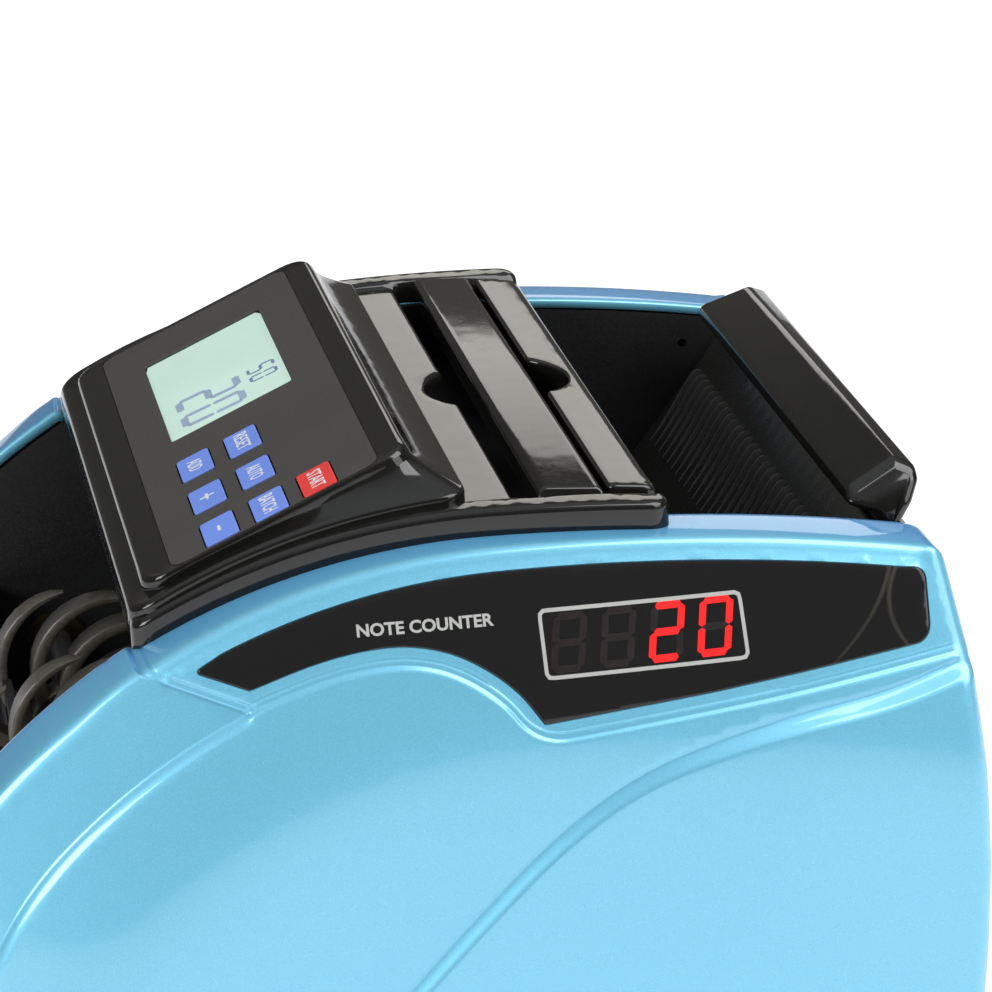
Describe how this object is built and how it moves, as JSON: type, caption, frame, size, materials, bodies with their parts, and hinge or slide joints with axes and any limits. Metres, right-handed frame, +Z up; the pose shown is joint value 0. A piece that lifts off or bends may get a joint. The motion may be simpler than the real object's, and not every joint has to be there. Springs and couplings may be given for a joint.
{
  "type": "banknote counter",
  "caption": "Desktop banknote counting machine with arched side shells, sloping keypad head, rear hopper door, lift-up handle, feed rollers, finger wheels and a front stacker.",
  "frame": {"origin": "centre of the footprint on the table, under the rubber feet", "axes": "+Z up, -Y towards the operator, +X to the operator's right"},
  "size_m": [0.268, 0.2858, 0.2026],
  "materials": {
    "blue_paint": "metallic sky-blue lacquer",
    "piano_black": "piano-black gloss",
    "window_black": "black gloss window",
    "matte_black": "fine matte",
    "overlay_grey": "matte printed film",
    "lcd_screen": "backlit screen",
    "key_blue": "satin",
    "key_red": "satin",
    "circuit_board": "solder mask",
    "led_case": "matte",
    "steel": "zinc plated",
    "motor_case": "dark paint",
    "iron_core": "lacquered laminations",
    "bronze": "sintered",
    "rubber_black": "matte",
    "rubber_grey": "ground",
    "wheel_black": "satin",
    "port_black": "satin"
  },
  "bodies": {
    "case": {"right_side_shell": "blue_paint", "left_side_shell": "blue_paint", "right_display_window": "window_black", "left_trim_window": "window_black", "right_inner_panel": "matte_black", "left_inner_panel": "matte_black", "right_frame_plate": "steel", "left_frame_plate": "steel", "frame_tie_bars": "steel", "top_cover": "piano_black", "control_head": "piano_black", "keypad_overlay": "overlay_grey", "lcd_module": "lcd_screen", "keypad_board": "circuit_board", "handle_well": "matte_black", "hopper_front_wall": "piano_black", "feed_table": "matte_black", "shaft_bearings": "bronze", "drive_belts": "rubber_black", "upper_note_guide": "matte_black", "lower_note_guide": "matte_black", "stacker_tray": "matte_black", "base_pan": "matte_black", "rubber_feet": "rubber_black", "rear_panel": "matte_black", "mains_inlet": "port_black", "fuse_holder": "port_black", "switch_body": "port_black", "main_board": "circuit_board", "transformer": "iron_core", "drive_motor": "motor_case", "led_display_module": "led_case", "led_display_board": "circuit_board", "note_sensors": "port_black", "base_screws": "steel"},
    "handle": {"carry_handle": "piano_black"},
    "door": {"rear_door": "piano_black", "hopper_plate": "matte_black", "rear_grip_bar": "piano_black"},
    "drive": {"drive_shaft": "steel", "drive_rollers": "rubber_grey"},
    "feed": {"feed_shaft": "steel", "feed_rollers": "rubber_grey"},
    "wheels": {"finger_wheel_shaft": "steel", "finger_wheels": "wheel_black"},
    "motor": {"motor_shaft": "steel"},
    "pinch": {"pinch_shaft": "steel", "pinch_rollers": "rubber_grey"},
    "delivery": {"delivery_shaft": "steel", "delivery_rollers": "rubber_grey"},
    "rocker": {"power_rocker": "port_black"},
    "key_add_body": {"key_add": "key_blue"},
    "key_plus_body": {"key_plus": "key_blue"},
    "key_minus_body": {"key_minus": "key_blue"},
    "key_reset_body": {"key_reset": "key_blue"},
    "key_auto_body": {"key_auto": "key_blue"},
    "key_batch_body": {"key_batch": "key_blue"},
    "key_start_body": {"key_start": "key_red"}
  },
  "joints": [
    {"name": "handle_lift", "type": "slide", "parent": "case", "child": "handle", "axis": [0, 0, 1], "range_m": [0, 0.028]},
    {"name": "door_hinge", "type": "hinge", "parent": "case", "child": "door", "pos_m": [0, 0.1335, 0.066], "axis": [-1, 0, 0], "range_deg": [0, 68]},
    {"name": "power_switch", "type": "hinge", "parent": "case", "child": "rocker", "pos_m": [-0.026, 0.128, 0.035], "axis": [1, 0, 0], "range_deg": [0, 12]},
    {"name": "drive_spin", "type": "hinge", "parent": "case", "child": "drive", "pos_m": [0, 0.03, 0.098], "axis": [1, 0, 0], "continuous": true},
    {"name": "feed_spin", "type": "hinge", "parent": "case", "child": "feed", "pos_m": [0, 0.066, 0.099], "axis": [1, 0, 0], "continuous": true},
    {"name": "wheel_spin", "type": "hinge", "parent": "case", "child": "wheels", "pos_m": [0, -0.065, 0.095], "axis": [1, 0, 0], "continuous": true},
    {"name": "motor_spin", "type": "hinge", "parent": "case", "child": "motor", "pos_m": [0, 0.07, 0.04], "axis": [1, 0, 0], "continuous": true},
    {"name": "pinch_spin", "type": "hinge", "parent": "case", "child": "pinch", "pos_m": [0, 0.0479, 0.1194], "axis": [1, 0, 0], "continuous": true},
    {"name": "delivery_spin", "type": "hinge", "parent": "case", "child": "delivery", "pos_m": [0, 0.0256, 0.1229], "axis": [1, 0, 0], "continuous": true},
    {"name": "key_add_press", "type": "slide", "parent": "case", "child": "key_add_body", "axis": [0, 0.3935, -0.9193], "range_m": [0, 0.0005], "stiffness_N_per_m": 500, "springref_m": -0.0005},
    {"name": "key_plus_press", "type": "slide", "parent": "case", "child": "key_plus_body", "axis": [0, 0.3935, -0.9193], "range_m": [0, 0.0005], "stiffness_N_per_m": 500, "springref_m": -0.0005},
    {"name": "key_minus_press", "type": "slide", "parent": "case", "child": "key_minus_body", "axis": [0, 0.3935, -0.9193], "range_m": [0, 0.0005], "stiffness_N_per_m": 500, "springref_m": -0.0005},
    {"name": "key_reset_press", "type": "slide", "parent": "case", "child": "key_reset_body", "axis": [0, 0.3935, -0.9193], "range_m": [0, 0.0005], "stiffness_N_per_m": 500, "springref_m": -0.0005},
    {"name": "key_auto_press", "type": "slide", "parent": "case", "child": "key_auto_body", "axis": [0, 0.3935, -0.9193], "range_m": [0, 0.0005], "stiffness_N_per_m": 500, "springref_m": -0.0005},
    {"name": "key_batch_press", "type": "slide", "parent": "case", "child": "key_batch_body", "axis": [0, 0.3935, -0.9193], "range_m": [0, 0.0005], "stiffness_N_per_m": 500, "springref_m": -0.0005},
    {"name": "key_start_press", "type": "slide", "parent": "case", "child": "key_start_body", "axis": [0, 0.3935, -0.9193], "range_m": [0, 0.0005], "stiffness_N_per_m": 500, "springref_m": -0.0005}
  ],
  "couplings": [
    {"joint": "motor_spin", "follows": "drive_spin", "ratio": 2},
    {"joint": "feed_spin", "follows": "drive_spin", "ratio": 1},
    {"joint": "wheel_spin", "follows": "drive_spin", "ratio": 0.5},
    {"joint": "pinch_spin", "follows": "drive_spin", "ratio": -1.6038},
    {"joint": "delivery_spin", "follows": "drive_spin", "ratio": -2.125}
  ]
}
